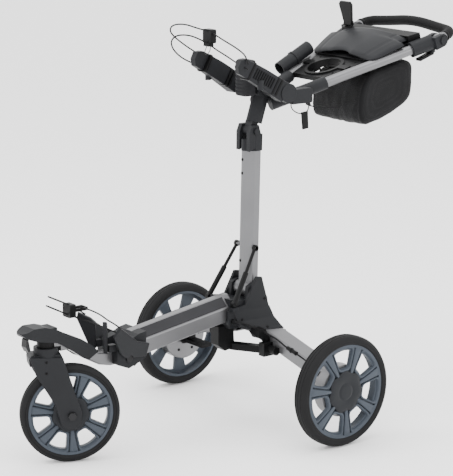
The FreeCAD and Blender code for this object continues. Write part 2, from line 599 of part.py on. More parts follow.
def tilted(shape):
    shape = turned(shape, (0, 0, 0), (1, 0, 0), HANDLE_RISE)
    shape.translate(V(0, 0, HANDLE_Z))
    return shape


def tube_x(v):
    return HANDLE_HALF + HANDLE_SPLAY * v


def flat_rod(v0, v1, r, side):
    return rod((side * tube_x(v0), v0, 0), (side * tube_x(v1), v1, 0), r)


def handle_rod(v0, v1, r, side):
    return tilted(flat_rod(v0, v1, r, side))


def make_handle():
    save("handle_tubes", *[handle_rod(42, 482, TUBE_R, side) for side in (1, -1)])
    x0 = tube_x(CLAMP_AT)
    body = flat_rod(424, 488, 21, 1).cut(box(0, 300, 484, 500, -40, 40))
    ears = [box(x0 + a, x0 + a + 13, 478, CLAMP_AT, -17, 17).fuse(
        rod((x0 + a, CLAMP_AT, 0), (x0 + a + 13, CLAMP_AT, 0), 17)) for a in (-21, 8)]
    bore = rod((x0 - 30, CLAMP_AT, 0), (x0 + 30, CLAMP_AT, 0), 6)
    clamp = body.fuse(ears).removeSplitter().cut([bore, flat_rod(400, 484, TUBE_R + 0.02, 1)])
    clamp = clamp.cut(box(x0 - 30, x0 + 30, 484.5, 486, -14, 14).common(flat_rod(480, 490, 13, 1)))
    hinge = box(142, 172, 474, 484, -26, -18).cut(flat_rod(400, 484, 21, 1))
    clamp = tilted(clamp.fuse(hinge).removeSplitter())
    pin = rod((x0 - 21, CLAMP_AT, 0), (x0 + 21, CLAMP_AT, 0), 6)
    pin = pin.fuse([rod((x0 + 21, CLAMP_AT, 0), (x0 + 25, CLAMP_AT, 0), 11),
                    rod((x0 - 25, CLAMP_AT, 0), (x0 - 21, CLAMP_AT, 0), 11)]).removeSplitter()
    save("handle_clamps", *both(clamp), *both(tilted(pin)))
    lever = box(148, 166, 432, 480.5, -33, -26.4).fuse(rod((148, 480.5, -29.7), (166, 480.5, -29.7), 3.3))
    lever = lever.removeSplitter()
    save("clamp_lever_left", tilted(lever))
    save("clamp_lever_right", mirrored(tilted(lever)))


def make_bow():
    """The tilting stubs and the one-piece grip bow between them."""
    x0 = tube_x(CLAMP_AT)
    tongue = rod((x0 - 7.6, CLAMP_AT, 0), (x0 + 7.6, CLAMP_AT, 0), 15)
    tongue = tongue.fuse(box(x0 - 7.6, x0 + 7.6, CLAMP_AT, CLAMP_AT + 22, -12, 12))
    tongue = tongue.cut(rod((x0 - 9, CLAMP_AT, 0), (x0 + 9, CLAMP_AT, 0), 6 + FIT))
    stub = tilted(tongue.fuse(rod((x0, CLAMP_AT + 19, 0), (x0, CLAMP_AT + 26, 0), 13)).removeSplitter())
    save("handle_bow", *both(stub))
    start = tilted(Part.Vertex(x0, CLAMP_AT + 26, 0)).Point
    ahead = tilted(Part.Vertex(x0, CLAMP_AT + 56, 0)).Point
    left = [tuple(start), tuple(ahead), (104, 548, 1014), (0, 550, 1026)]
    right = [(-x, y, z) for x, y, z in reversed(left[:3])]
    wire, _ = cord_path(left + right, 0.6)
    ring = Part.Wire(Part.makeCircle(14, start, ahead - start))
    save("grip", wire.makePipeShell([ring], True, True))


def make_console():
    """Open cup ring in front, tray under a domed lid behind, and the phone holder."""
    def plate(v0, v1, w0, w1):
        half0, half1 = (tube_x(v) - TUBE_R - 1.5 for v in (v0, v1))
        return slab_z([(half0, v0), (half1, v1), (-half1, v1), (-half0, v0)], w0, w1)

    body = plate(178, 310, -3, 10).fuse([plate(300, 462, -20, 15.5), rod((0, 240, -6), (0, 240, 14), 55)])
    saddle = box(-84, 84, 238, 260, -12, 14)
    ridge = slab_z([(-132, 434), (132, 434), (146, 466), (-146, 466)], 15, 34)
    body = body.fuse([saddle, ridge]).cut(rod((0, 240, -30), (0, 240, 40), 46))
    body = body.cut([flat_rod(100, 520, TUBE_R + 0.02, side) for side in (1, -1)])
    save("console", tilted(body.removeSplitter()))
    seat("console", "handle_clamps")
    lid = slab_x([(306, 16), (306, 30), (320, 38), (370, 42), (410, 40), (433.6, 36), (433.6, 16)], -145, 145)
    sides = slab_z([(-112, 300), (112, 300), (144, 440), (-144, 440)], 10, 60)
    lid = lid.common(sides).cut(rod((0, 240, 0), (0, 240, 60), 72))
    lid = lid.cut(box(-100, 100, 326, 426, 15, 30).cut(rod((0, 240, 0), (0, 240, 60), 84)))
    lid = lid.cut([flat_rod(410, 500, 21.5, side) for side in (1, -1)])
    save("console_lid", tilted(lid))
    sheet = prism([V(-130, 443, 40.5), V(-100, 443, 40.5), V(-90, 443, 96), V(-96, 443, 104), V(-134, 443, 104),
                   V(-140, 443, 96)], V(0, 7, 0))
    holder = sheet.fuse(rod((-130, 446.5, 40.5), (-100, 446.5, 40.5), 6)).removeSplitter()
    holder = turned(holder, (0, 446.5, 40.5), (1, 0, 0), -5)
    save("phone_holder", tilted(holder))


def make_umbrella_holder():
    a, b = V(-102, 155, 910), V(-102, 258, 961)
    d = (b - a).normalize()
    tube = rod(tuple(a), tuple(b), 18.5).fuse(rod(tuple(a + d * 52), tuple(a + d * 58), 20.5))
    bracket = rod((-102, 200, 928), (-88, 200, 903), 7)
    tube = tube.fuse(bracket).removeSplitter().cut(rod(tuple(a - d * 5), tuple(b - d * 4), 16))
    save("umbrella_holder", tube.cut(handle_rod(40, 482, TUBE_R + 0.02, -1)))
    seat("umbrella_holder", "head_bracket", "console")


def make_bag():
    """The soft pouch under the console and the webbing loop at its front."""
    pouch = slab_x([(262, 872), (250, 815), (262, 785), (296, 778), (434, 822), (462, 850), (456, 940), (300, 905)],
                   -100, 100)
    pouch = pouch.cut(tilted(slab_x([(0, -20.4), (600, -20.4), (600, 200), (0, 200)], -200, 200)))
    pouch = pouch.cut([handle_rod(40, 482, TUBE_R + 1, side) for side in (1, -1)])
    save("accessory_bag", rounded(pouch, 8, lambda e: along(e, 2) or (along(e, 0) and e.CenterOfMass.z < 860)))
    band = slab_x([(150, 876), (146, 838), (156, 824), (249, 812), (249, 815), (158, 827), (149, 839), (153, 877)],
                  12, 32)
    save("bag_strap", band)


# ---------------------------------------------------------------- export

def export():
    os.makedirs("parts", exist_ok=True)
    for old in os.listdir("parts"):
        os.remove(os.path.join("parts", old))
    for name, shape in nodes.items():
        assert shape.isValid(), name
        shape.exportStep("parts/" + name + ".step")
    whole = Part.makeCompound(list(nodes.values())).optimalBoundingBox(False)
    print(len(nodes), "nodes, box", whole)


make_rear_wheels()
make_front_wheel()
make_fork()
make_front_arm()
make_rail()
fold_pins = make_front_bracket()
make_housing()
make_legs(fold_pins)
make_under_frame()
mast_collar = make_mast()
make_struts()
make_cables()
make_lower_cords()
upper_a, upper_b, loop_cord = make_upper_bracket(mast_collar)
save("upper_cord_a", upper_a)
save("upper_cord_b", upper_b)
save("hook_loop", loop_cord)
make_handle()
make_bow()
make_console()
make_umbrella_holder()
make_bag()
export()
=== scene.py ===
import json
import math

import bmesh
import bpy
from mathutils import Matrix, Vector, noise


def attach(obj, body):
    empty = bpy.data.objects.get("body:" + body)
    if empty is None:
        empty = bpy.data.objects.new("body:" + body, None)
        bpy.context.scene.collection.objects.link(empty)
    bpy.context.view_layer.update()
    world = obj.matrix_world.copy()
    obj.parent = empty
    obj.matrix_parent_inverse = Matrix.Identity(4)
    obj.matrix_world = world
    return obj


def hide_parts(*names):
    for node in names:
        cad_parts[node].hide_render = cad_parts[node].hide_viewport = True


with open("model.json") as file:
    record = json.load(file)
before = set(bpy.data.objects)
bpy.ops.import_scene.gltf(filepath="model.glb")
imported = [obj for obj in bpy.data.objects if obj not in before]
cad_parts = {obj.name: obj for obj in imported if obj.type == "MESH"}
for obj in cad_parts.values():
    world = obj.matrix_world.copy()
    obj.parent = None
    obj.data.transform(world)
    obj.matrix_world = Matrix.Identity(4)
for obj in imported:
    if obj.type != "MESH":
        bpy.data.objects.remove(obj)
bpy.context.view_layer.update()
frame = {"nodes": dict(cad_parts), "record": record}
nodes = frame["nodes"]

# Places are measured from the middle of the rear axle on the ground, as in the part's own
# dimensions; at() moves them to the row frame, in metres.
REAR_AXLE_Y = 0.0933
REAR_X = 0.3435
REAR_R = 0.146
FRONT_R = 0.126
STEER_Y = -0.673
TRAIL = 0.0586
STEER_ANGLE = math.radians(-24.1)
HANDLE_RISE = math.radians(17.6)
HANDLE_Z = 840
HANDLE_HALF = 26
HANDLE_SPLAY = 0.279
CLAMP_AT = 505.5
SPOKES = 7
WHEEL_PHASE = math.radians(-8.7)
MM = 0.001


def at(x, y, z):
    """A place given in millimetres from the rear axle, in the row frame."""
    return Vector((x * MM, y * MM + REAR_AXLE_Y, z * MM))


def on_handle(x, v, w):
    """A place on the handle: across, along its tubes and above them, in millimetres."""
    c, s = math.cos(HANDLE_RISE), math.sin(HANDLE_RISE)
    return at(x, v * c - w * s, HANDLE_Z + v * s + w * c)


def tube_x(v):
    """How far a handle tube's axis stands from the middle, v along the handle."""
    return HANDLE_HALF + HANDLE_SPLAY * v


# ---------------------------------------------------------------- camera and light

def make_camera():
    azimuth, elevation, roll = math.radians(51.41), math.radians(12.864), math.radians(0.42)
    back = Vector((math.sin(azimuth) * math.cos(elevation),
                   -math.cos(azimuth) * math.cos(elevation), math.sin(elevation)))
    right = Vector((math.cos(azimuth), math.sin(azimuth), 0.0))
    up = back.cross(right)
    turned_right = right * math.cos(roll) + up * math.sin(roll)
    turned_up = up * math.cos(roll) - right * math.sin(roll)
    data = bpy.data.cameras.new("camera")
    data.sensor_width = 36.0
    data.lens = 149.2
    camera = bpy.data.objects.new("camera", data)
    place = Matrix((turned_right, turned_up, back)).transposed().to_4x4()
    place.translation = Vector((3.9386, -3.2477 + REAR_AXLE_Y, 1.6476))
    camera.matrix_world = place
    bpy.context.scene.collection.objects.link(camera)
    bpy.context.scene.camera = camera


def area_light(name, place, target, size, power):
    data = bpy.data.lights.new(name, "AREA")
    data.shape = "DISK"
    data.size = size
    data.energy = power
    lamp = bpy.data.objects.new(name, data)
    lamp.location = place
    lamp.rotation_euler = (Vector(target) - Vector(place)).to_track_quat("-Z", "Y").to_euler()
    bpy.context.scene.collection.objects.link(lamp)


def make_stage():
    world = bpy.data.worlds.new("studio")
    world.use_nodes = True
    world.node_tree.nodes["Background"].inputs["Color"].default_value = (1.0, 1.0, 1.0, 1)
    world.node_tree.nodes["Background"].inputs["Strength"].default_value = 2.4
    bpy.context.scene.world = world
    mesh = bpy.data.meshes.new("floor")
    size = 40.0
    mesh.from_pydata([(-size, -size, 0), (size, -size, 0), (size, size, 0), (-size, size, 0)],
                     [], [(0, 1, 2, 3)])
    floor = bpy.data.objects.new("floor", mesh)
    floor.location.z = -0.0005
    bpy.context.scene.collection.objects.link(floor)
    paint = bpy.data.materials.new("floor_paint")
    paint.use_nodes = True
    shader = paint.node_tree.nodes["Principled BSDF"]
    shader.inputs["Base Color"].default_value = (0.97, 0.97, 0.97, 1)
    shader.inputs["Roughness"].default_value = 0.75
    mesh.materials.append(paint)
    area_light("key", (-1.0, -2.6, 3.4), (0, 0, 0.5), 2.2, 80)
    area_light("side", (3.4, 1.2, 2.2), (0, 0, 0.5), 2.0, 40)
    area_light("top", (0.2, 0.4, 3.6), (0, 0, 0.4), 2.4, 40)


make_camera()
make_stage()


# ---------------------------------------------------------------- materials

def new_material(name, colour, roughness, metallic=0.0):
    material = bpy.data.materials.new(name)
    material.use_nodes = True
    shader = material.node_tree.nodes["Principled BSDF"]
    shader.inputs["Base Color"].default_value = (*colour, 1)
    shader.inputs["Roughness"].default_value = roughness
    shader.inputs["Metallic"].default_value = metallic
    shader.inputs["Specular IOR Level"].default_value = 0.12
    return material


def add_node(material, kind, **values):
    node = material.node_tree.nodes.new(kind)
    for key, value in values.items():
        if key in node.inputs:
            node.inputs[key].default_value = value
        else:
            setattr(node, key, value)
    return node


def vary(material, colour, spread, scale):
    """Slow light and dark drift of a colour over the surface."""
    links = material.node_tree.links
    where = add_node(material, "ShaderNodeTexCoord")
    noise = add_node(material, "ShaderNodeTexNoise", Scale=scale, Detail=4.0, Roughness=0.6)
    ramp = add_node(material, "ShaderNodeValToRGB")
    low, high = ramp.color_ramp.elements
    low.position, high.position = 0.3, 0.7
    low.color = (*[c * (1 - spread) for c in colour], 1)
    high.color = (*[min(1.0, c * (1 + spread)) for c in colour], 1)
    links.new(where.outputs["Object"], noise.inputs["Vector"])
    links.new(noise.outputs["Fac"], ramp.inputs["Fac"])
    links.new(ramp.outputs["Color"], material.node_tree.nodes["Principled BSDF"].inputs["Base Color"])
    return where


def bump_from(material, height, strength, distance, edge=0.0):
    """Bump from a height output, over edges softened by a small radius."""
    links = material.node_tree.links
    bump = add_node(material, "ShaderNodeBump", Strength=strength, Distance=distance)
    links.new(height, bump.inputs["Height"])
    if edge:
        soft = add_node(material, "ShaderNodeBevel", samples=4)
        soft.inputs["Radius"].default_value = edge
        links.new(soft.outputs["Normal"], bump.inputs["Normal"])
    links.new(bump.outputs["Normal"], material.node_tree.nodes["Principled BSDF"].inputs["Normal"])


def moulded(name, colour, roughness, grain=900.0, strength=0.25, spread=0.08, edge=0.0012):
    """Moulded plastic or coated metal with a fine grain."""
    material = new_material(name, colour, roughness)
    where = vary(material, colour, spread, 14.0)
    noise = add_node(material, "ShaderNodeTexNoise", Scale=grain, Detail=2.0)
    material.node_tree.links.new(where.outputs["Object"], noise.inputs["Vector"])
    bump_from(material, noise.outputs["Fac"], strength, 0.0002, edge)
    return material


def anodised(name, colour, roughness):
    """Satin anodised aluminium: fine grain, slightly uneven sheen."""
    material = new_material(name, colour, roughness, 0.75)
    where = vary(material, colour, 0.05, 9.0)
    noise = add_node(material, "ShaderNodeTexNoise", Scale=1500.0, Detail=2.0)
    material.node_tree.links.new(where.outputs["Object"], noise.inputs["Vector"])
    bump_from(material, noise.outputs["Fac"], 0.12, 0.0001, 0.0015)
    return material


def woven(name, colour, roughness, threads, strength):
    """Coated cloth: two crossed sets of fine threads."""
    material = new_material(name, colour, roughness)
    links = material.node_tree.links
    where = vary(material, colour, 0.25, 18.0)
    waves = []
    for axis in ("X", "Z"):
        wave = add_node(material, "ShaderNodeTexWave", bands_direction=axis, Scale=threads)
        wave.inputs["Distortion"].default_value = 0.6
        links.new(where.outputs["Object"], wave.inputs["Vector"])
        waves.append(wave)
    both = add_node(material, "ShaderNodeMath", operation="MAXIMUM")
    links.new(waves[0].outputs["Fac"], both.inputs[0])
    links.new(waves[1].outputs["Fac"], both.inputs[1])
    bump_from(material, both.outputs["Value"], strength, 0.0004)
    material.node_tree.nodes["Principled BSDF"].inputs["Sheen Weight"].default_value = 0.04
    return material


paints = {
    "silver": anodised("silver", (0.150, 0.150, 0.155), 0.36),
    "charcoal": moulded("charcoal", (0.0115, 0.012, 0.0135), 0.50),
    "black": moulded("black", (0.0028, 0.0028, 0.0031), 0.46),
    "trim": moulded("trim", (0.020, 0.020, 0.022), 0.35, 700.0, 0.1),
    "tyre": moulded("tyre", (0.0085, 0.0085, 0.009), 0.70, 1300.0, 0.4, 0.12, 0.0),
    "wheel_blue_grey": moulded("wheel_blue_grey", (0.042, 0.050, 0.062), 0.42, 1200.0, 0.15),
    "motor": anodised("motor", (0.17, 0.17, 0.175), 0.40),
    "steel": anodised("steel", (0.022, 0.022, 0.023), 0.34),
    "cord": woven("cord", (0.006, 0.006, 0.0065), 0.7, 700.0, 0.5),
    "cable": moulded("cable", (0.005, 0.005, 0.0055), 0.45, 900.0, 0.1, 0.1, 0.0),
    "cloth": woven("cloth", (0.0040, 0.0040, 0.0046), 0.70, 420.0, 0.7),
    "grip_foam": moulded("grip_foam", (0.0045, 0.0045, 0.0048), 0.68, 1500.0, 0.6, 0.12, 0.0),
    "pad_rubber": moulded("pad_rubber", (0.014, 0.014, 0.0155), 0.75, 420.0, 0.9, 0.35, 0.001),
    "petal": moulded("petal", (0.012, 0.013, 0.015), 0.45),
}

slots = {row["node"]: row["material_slot"] for row in frame["record"]["subparts"]}
for node_name, node in nodes.items():
    node.data.materials.clear()
    node.data.materials.append(paints[slots[node_name]])

# ---------------------------------------------------------------- mesh helpers

def finish_piece(obj, paint, body, replaced=(), smooth=True):
    """Material, shading, body and replaced nodes of one piece."""
    obj.data.materials.append(paints[paint])
    if smooth and obj.type == "MESH":
        for polygon in obj.data.polygons:
            polygon.use_smooth = True
    bpy.context.scene.collection.objects.link(obj)
    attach(obj, body)
    if replaced:
        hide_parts(*replaced)
    return obj


def mesh_piece(name, points, faces, paint, body, replaced=(), smooth=True):
    mesh = bpy.data.meshes.new(name)
    mesh.from_pydata([tuple(p) for p in points], [], faces)
    shape = bmesh.new()
    shape.from_mesh(mesh)
    bmesh.ops.recalc_face_normals(shape, faces=shape.faces)
    shape.to_mesh(mesh)
    shape.free()
    return finish_piece(bpy.data.objects.new(name, mesh), paint, body, replaced, smooth)


def loft(rings, closed=True, caps=True):
    """Points and faces of a skin through rings that all have the same number of points."""
    points = [p for ring in rings for p in ring]
    count = len(rings[0])
    faces = []
    for i in range(len(rings) - 1):
        for j in range(count if closed else count - 1):
            k = (j + 1) % count
            faces.append((i * count + j, i * count + k, (i + 1) * count + k, (i + 1) * count + j))
    if caps:
        faces.append(tuple(range(count)))
        faces.append(tuple(range((len(rings) - 1) * count, len(rings) * count)))
    return points, faces


def merge(parts):
    """One list of points and faces from several."""
    points, faces = [], []
    for part_points, part_faces in parts:
        start = len(points)
        points += list(part_points)
        faces += [tuple(i + start for i in face) for face in part_faces]
    return points, faces


# ---------------------------------------------------------------- wheels
# Built about the X axis with the outer face towards +X, then placed.

def wheel_place(kind):
    """The map from a wheel's own millimetres to the row frame, and the body it rides on."""
    if kind == "front":
        turn = Matrix.Rotation(STEER_ANGLE, 3, "Z")
        centre = Vector((-math.sin(STEER_ANGLE) * TRAIL,
                         STEER_Y + math.cos(STEER_ANGLE) * TRAIL + REAR_AXLE_Y, FRONT_R))
        return lambda p: turn @ (Vector(p) * MM) + centre, "front_wheel"
    side = 1 if kind == "left" else -1
    centre = Vector((side * REAR_X, REAR_AXLE_Y, REAR_R))
    return lambda p: Vector((side * p[0], p[1], p[2])) * MM + centre, "rear_wheel_" + kind


def make_tyre(kind, radius, width, rim_r):
    place, body = wheel_place(kind)
    half = width / 2
    side = [(-half + 5, rim_r - 0.5), (-half + 2, rim_r + 1.5), (-half + 0.8, rim_r + 5),
            (-half + 0.2, rim_r + 7), (-half + 1.0, rim_r + 8), (-half, rim_r + 9.5),
            (-half, radius - 12), (-half + 1.0, radius - 8.5),
            (-half + 3.5, radius - 4.6), (-half + 6.5, radius - 2.6)]
    tread = []
    for x in (-9.5, 0.0, 9.5):
        crown = radius - 1.4 * (x / 13.0) ** 2
        tread += [(x - 2.2, crown), (x - 1.4, crown - 0.2), (x - 0.9, crown - 1.5), (x + 0.9, crown - 1.5),
                  (x + 1.4, crown - 0.2), (x + 2.2, crown)]
    profile = side + tread + [(-x, r) for x, r in reversed(side)]
    rings = []
    turns = 168
    for i in range(turns):
        a = 2 * math.pi * i / turns
        rings.append([place((x, r * math.cos(a), r * math.sin(a))) for x, r in profile])
    points, faces = loft(rings, caps=False)
    count = len(profile)
    last = (turns - 1) * count
    for j in range(count):
        k = (j + 1) % count
        faces.append((last + j, last + k, k, j))
    node = "front_tyre" if kind == "front" else "rear_tyre_" + kind
    mesh_piece("tyre_" + kind, points, faces, "tyre", body, [node])


def sector_loop(lines, circle, centre, count=44, power=9.0):
    """A rounded loop inside straight lines and a circle, seen from a centre on the radial axis."""
    loop = []
    for i in range(count):
        a = 2 * math.pi * i / count
        ux, uy = math.cos(a), math.sin(a)
        total = 0.0
        for px, py, nx, ny in lines:
            facing = nx * ux + ny * uy
            if facing > 1e-6:
                reach = ((px - centre) * nx + py * ny) / facing
                total += reach ** -power
        along = centre * ux
        reach = -along + math.sqrt(along * along + circle * circle - centre * centre)
        total += reach ** -power
        reach = total ** (-1 / power)
        loop.append((centre + reach * ux, reach * uy))
    return loop


def side_lines(radius, inset, floor):
    """The two lines beside the neighbouring spokes and one across the hub end."""
    half_step = math.pi / SPOKES
    r0, r1 = 0.36 * radius, 0.84 * radius
    offsets = (4.0 + inset, 12.5 + inset)
    lines = []
    for side in (1, -1):
        ends = []
        for r, off in zip((r0, r1), offsets):
            ends.append((r * math.cos(half_step) + off * math.sin(half_step),
                         side * (r * math.sin(half_step) - off * math.cos(half_step))))
        dx, dy = ends[1][0] - ends[0][0], ends[1][1] - ends[0][1]
        length = math.hypot(dx, dy)
        lines.append((*ends[0], -side * dy / length, side * dx / length))
    lines.append((floor, 0.0, -1.0, 0.0))
    return lines


def make_wheel_face(kind, radius, rim_r, plane, facing):
    """Bevelled window frames and tapered spokes on one face of a wheel."""
    place, body = wheel_place(kind)
    parts = []
    centre = 0.62 * radius
    outer_circle = rim_r - 3.0
    for k in range(SPOKES):
        turn = Matrix.Rotation(WHEEL_PHASE + 2 * math.pi * k / SPOKES, 2)
        steps = [(2.4, 0.37, 0.0, -1.2), (2.6, 0.373, 0.4, 2.6), (3.6, 0.382, 1.4, 3.6),
                 (5.4, 0.40, 4.0, 3.2), (7.2, 0.42, 7.0, 0.6), (7.5, 0.423, 7.4, -9.0)]
        rings = []
        for inset, floor, shrink, height in steps:
            loop = sector_loop(side_lines(radius, inset, floor * radius), outer_circle - shrink, centre)
            ring = []
            for a, b in loop:
                y, z = turn @ Vector((a, b))
                ring.append(place((facing * (plane + height), y, z)))
            rings.append(ring)
        parts.append(loft(rings, caps=False))
        turn = Matrix.Rotation(WHEEL_PHASE + 2 * math.pi * (k + 0.5) / SPOKES, 2)
        rings = []
        for r, half, height in ((0.33, 2.6, 3.0), (0.345, 4.0, 4.6), (0.50, 6.2, 5.0), (0.70, 9.2, 4.4),
                                (0.815, 11.6, 3.6), (0.835, 12.2, 2.0)):
            ring = []
            left = ((-half, -1.5), (-half, height - 1.6), (-half + 1.4, height - 0.3), (-half * 0.45, height))
            for b, h in left + tuple((-b, h) for b, h in reversed(left)):
                y, z = turn @ Vector((min(r * radius, rim_r - 2.5), b))
                ring.append(place((facing * (plane + h), y, z)))
            rings.append(ring)
        parts.append(loft(rings))
    points, faces = merge(parts)
    name = "wheel_face_" + kind + ("" if facing > 0 else "_inner")
    mesh_piece(name, points, faces, "wheel_blue_grey", body)


def make_hub(kind, radius, plane, facing):
    """A hub cover with one petal for each window and a plain round middle."""
    place, body = wheel_place(kind)
    turns = 140
    rings = []
    for reach, height in ((0.345, 0.0), (0.375, 3.0), (0.36, 5.2), (0.30, 6.0), (0.17, 6.2), (0.155, 5.2),
                          (0.14, 6.6), (0.10, 7.2), (0.0, 7.4)):
        ring = []
        for i in range(turns):
            a = 2 * math.pi * i / turns
            swell = 1.0 + (0.045 * math.cos(SPOKES * (a - WHEEL_PHASE)) if reach > 0.25 else 0.0)
            r = max(reach * radius * swell, 0.01)
            ring.append(place((facing * (plane + height), r * math.cos(a), r * math.sin(a))))
        rings.append(ring)
    points, faces = loft(rings)
    name = "hub_cover_" + kind + ("" if facing > 0 else "_inner")
    mesh_piece(name, points, faces, "petal", body)


for wheel in ("left", "right"):
    make_tyre(wheel, 146.0, 44.0, 123.0)
    make_wheel_face(wheel, 146.0, 123.0, 14.5, 1)
    make_hub(wheel, 146.0, 14.0, 1)
make_tyre("front", 126.0, 40.0, 107.0)
make_wheel_face("front", 126.0, 107.0, 10.5, 1)
make_wheel_face("front", 126.0, 107.0, 6.5, -1)
make_hub("front", 126.0, 11.0, 1)
make_hub("front", 126.0, 7.0, -1)


# ---------------------------------------------------------------- cords

def make_cord(name, route, radius, node, body, paint="cord"):
    curve = bpy.data.curves.new(name, "CURVE")
    curve.dimensions = "3D"
    spline = curve.splines.new("NURBS")
    spline.points.add(len(route) - 1)
    for point, place in zip(spline.points, route):
        point.co = (*at(*place), 1)
    spline.order_u = 3
    spline.use_endpoint_u = True
    spline.resolution_u = 8
    curve.bevel_depth = radius
    curve.bevel_resolution = 4
    curve.use_fill_caps = True
    return finish_piece(bpy.data.objects.new(name, curve), paint, body, [node] if node else [])


upper_cord_a = make_cord("shock_cord_upper_a", [
    (-114, -112, 970), (-116, -135, 983), (-114, -166, 1002), (-110, -196, 1022), (-107, -212, 1039),
    (-99, -207, 1054), (-86, -178, 1055), (-72, -148, 1043), (-56, -120, 1034.5), (-34, -116, 1026),
    (-6, -115.5, 1017), (30, -116.5, 1008), (64, -119, 999), (92, -124, 990.5), (108, -130, 981),
    (112, -128, 968)], 0.002, "upper_cord_a", "upper_section")
upper_cord_b = make_cord("shock_cord_upper_b", [
    (-113, -122, 943), (-116, -148, 954), (-116, -176, 970.5), (-113, -198, 991), (-109, -206, 1011),
    (-100, -195, 1026), (-84, -166, 1026), (-70, -140, 1014), (-54, -121, 1000), (-28, -118.5, 989),
    (8, -118, 979), (40, -120, 970), (74, -126, 963.5), (104, -133, 960), (114, -129, 956)],
    0.002, "upper_cord_b", "upper_section")
lower_cord_a = make_cord("shock_cord_lower_a", [
    (-77, -501, 338), (-84, -520, 352), (-88, -545, 367.5), (-90, -571, 380.5), (-90, -597, 393.5),
    (-79, -614, 402), (-64, -614, 402), (-55, -597, 393.5), (-55, -572, 381), (-55, -548, 371),
    (-40, -533, 368),
    (-8, -525, 365), (28, -524, 361), (52, -522.5, 353.5), (72, -517, 348), (80, -501, 334)],
    0.002, "lower_cord_a", "chassis")
lower_cord_b = make_cord("shock_cord_lower_b", [
    (-70, -501, 322), (-79, -520, 331), (-86, -547, 342), (-90, -574, 355.5), (-90, -602, 370),
    (-79, -620, 379.5), (-64, -620, 379.5), (-55, -602, 370), (-55, -575, 355.5), (-55, -549, 343),
    (-38, -530, 336), (-6, -521, 332), (28, -519, 330), (52, -516, 328), (70, -501, 320)],
    0.002, "lower_cord_b", "chassis")
loop_cord = make_cord("shock_cord_loop", [
    (97, 29, 860), (97, 26.5, 848), (97, 33, 836), (97, 47, 827), (97, 62, 822.5),
    (97, 77, 823), (97, 87, 831), (97, 89, 844), (97, 83, 858)], 0.0015, "hook_loop", "upper_section")



# ---------------------------------------------------------------- soft goods

def eased(corners, share, steps):
    """A closed outline through flat corners, each one eased into its two sides."""
    outline = []
    count = len(corners)
    for i in range(count):
        before, here, after = (Vector(corners[(i + d) % count]) for d in (-1, 0, 1))
        start, end = here.lerp(before, share), here.lerp(after, share)
        for step in range(steps):
            t = step / (steps - 1)
            outline.append(start * (1 - t) ** 2 + here * 2 * t * (1 - t) + end * t * t)
    return outline


def make_bag():
    """The cloth pouch: a shell through many cross-sections, with folds, sag and piped ends."""
    corners = [(280, 885), (264, 815), (274, 776), (304, 766), (438, 812), (464, 846), (458, 948), (300, 908)]
    outline = eased(corners, 0.40, 9)
    middle = Vector((356, 858))
    stations = [(-99, 0.30), (-101, 0.62), (-101, 0.86), (-98, 0.95), (-94, 0.985), (-91, 1.0), (-88, 0.985)]
    stations += [(x, 1.0) for x in range(-82, 84, 6)]
    stations += [(-x, size) for x, size in reversed(stations[:7])]
    rings = []
    for x, size in stations:
        ring = []
        for y, z in outline:
            flat = Vector((y, z)) - middle
            out = flat.normalized()
            low = max(0.0, -out.y)
            fold = 3.6 * noise.noise(Vector((x * 0.012, y * 0.030, z * 0.030)))
            fold -= 3.4 * abs(noise.noise(Vector((x * 0.035, y * 0.016 + 9, z * 0.016)))) ** 0.6
            crease = -3.0 * math.exp(-((x - 30 - 0.3 * flat.y) / 5.0) ** 2)
            sag = 3.0 * low * (1 - (x / 101) ** 2)
            calm = max(0.0, (size - 0.85) / 0.15)
            place = middle + flat * size + out * (fold * calm + crease * low + sag)
            ring.append(at(x, place.x, place.y))
        rings.append(ring)
    points, faces = loft(rings)
    bag = mesh_piece("bag_shell", points, faces, "cloth", "upper_section", ["accessory_bag"])
    smooth_mesh(bag, 1)


def smooth_mesh(obj, levels):
    rounding = obj.modifiers.new("smooth", "SUBSURF")
    rounding.levels = levels
    rounding.render_levels = levels
    return obj


def make_strap():
    """Webbing loop from the pouch up to the frame."""
    line = [(252, 813.5), (225, 816), (190, 820), (165, 823), (153, 828), (148, 838), (149.5, 855),
            (151.5, 876.5)]
    rings = []
    for i, (y, z) in enumerate(line):
        y0, z0 = line[max(i - 1, 0)]
        y1, z1 = line[min(i + 1, len(line) - 1)]
        across = Vector((-(z1 - z0), y1 - y0)).normalized() * 0.9
        ring = []
        for x, side in ((12, -1), (17, -1.1), (22, -1.15), (27, -1.1), (32, -1), (32, 1), (27, 1.1),
                        (22, 1.15),
                        (17, 1.1), (12, 1)):
            ring.append(at(x, y + across.x * side, z + across.y * side))
        rings.append(ring)
    points, faces = loft(rings)
    strap = mesh_piece("strap_webbing", points, faces, "cloth", "upper_section", ["bag_strap"])


def make_rest_pad():
    """The soft rubber pad between the upper arms, ribbed across its face."""
    outline = eased([(-25, -66), (25, -66), (25, -25), (-25, -25)], 0.35, 7)
    rings = []
    rows = 60
    for i in range(rows + 1):
        z = 868 + 94 * i / rows
        edge = min(z - 868, 962 - z)
        size = 1.0 if edge > 8 else 0.80 + 0.20 * math.sqrt(1 - (1 - edge / 8) ** 2)
        rib = 1.6 * math.cos(2 * math.pi * i / 6)
        ring = []
        for x, y in outline:
            front = max(0.0, (-y - 40) / 26)
            ring.append(at(x * size, -45.5 + (y + 45.5) * size - rib * front * (edge > 8), z))
        rings.append(ring)
    points, faces = loft(rings)
    pad = mesh_piece("rest_cushion", points, faces, "pad_rubber", "upper_section", ["rest_pad"])
    smooth_mesh(pad, 1)


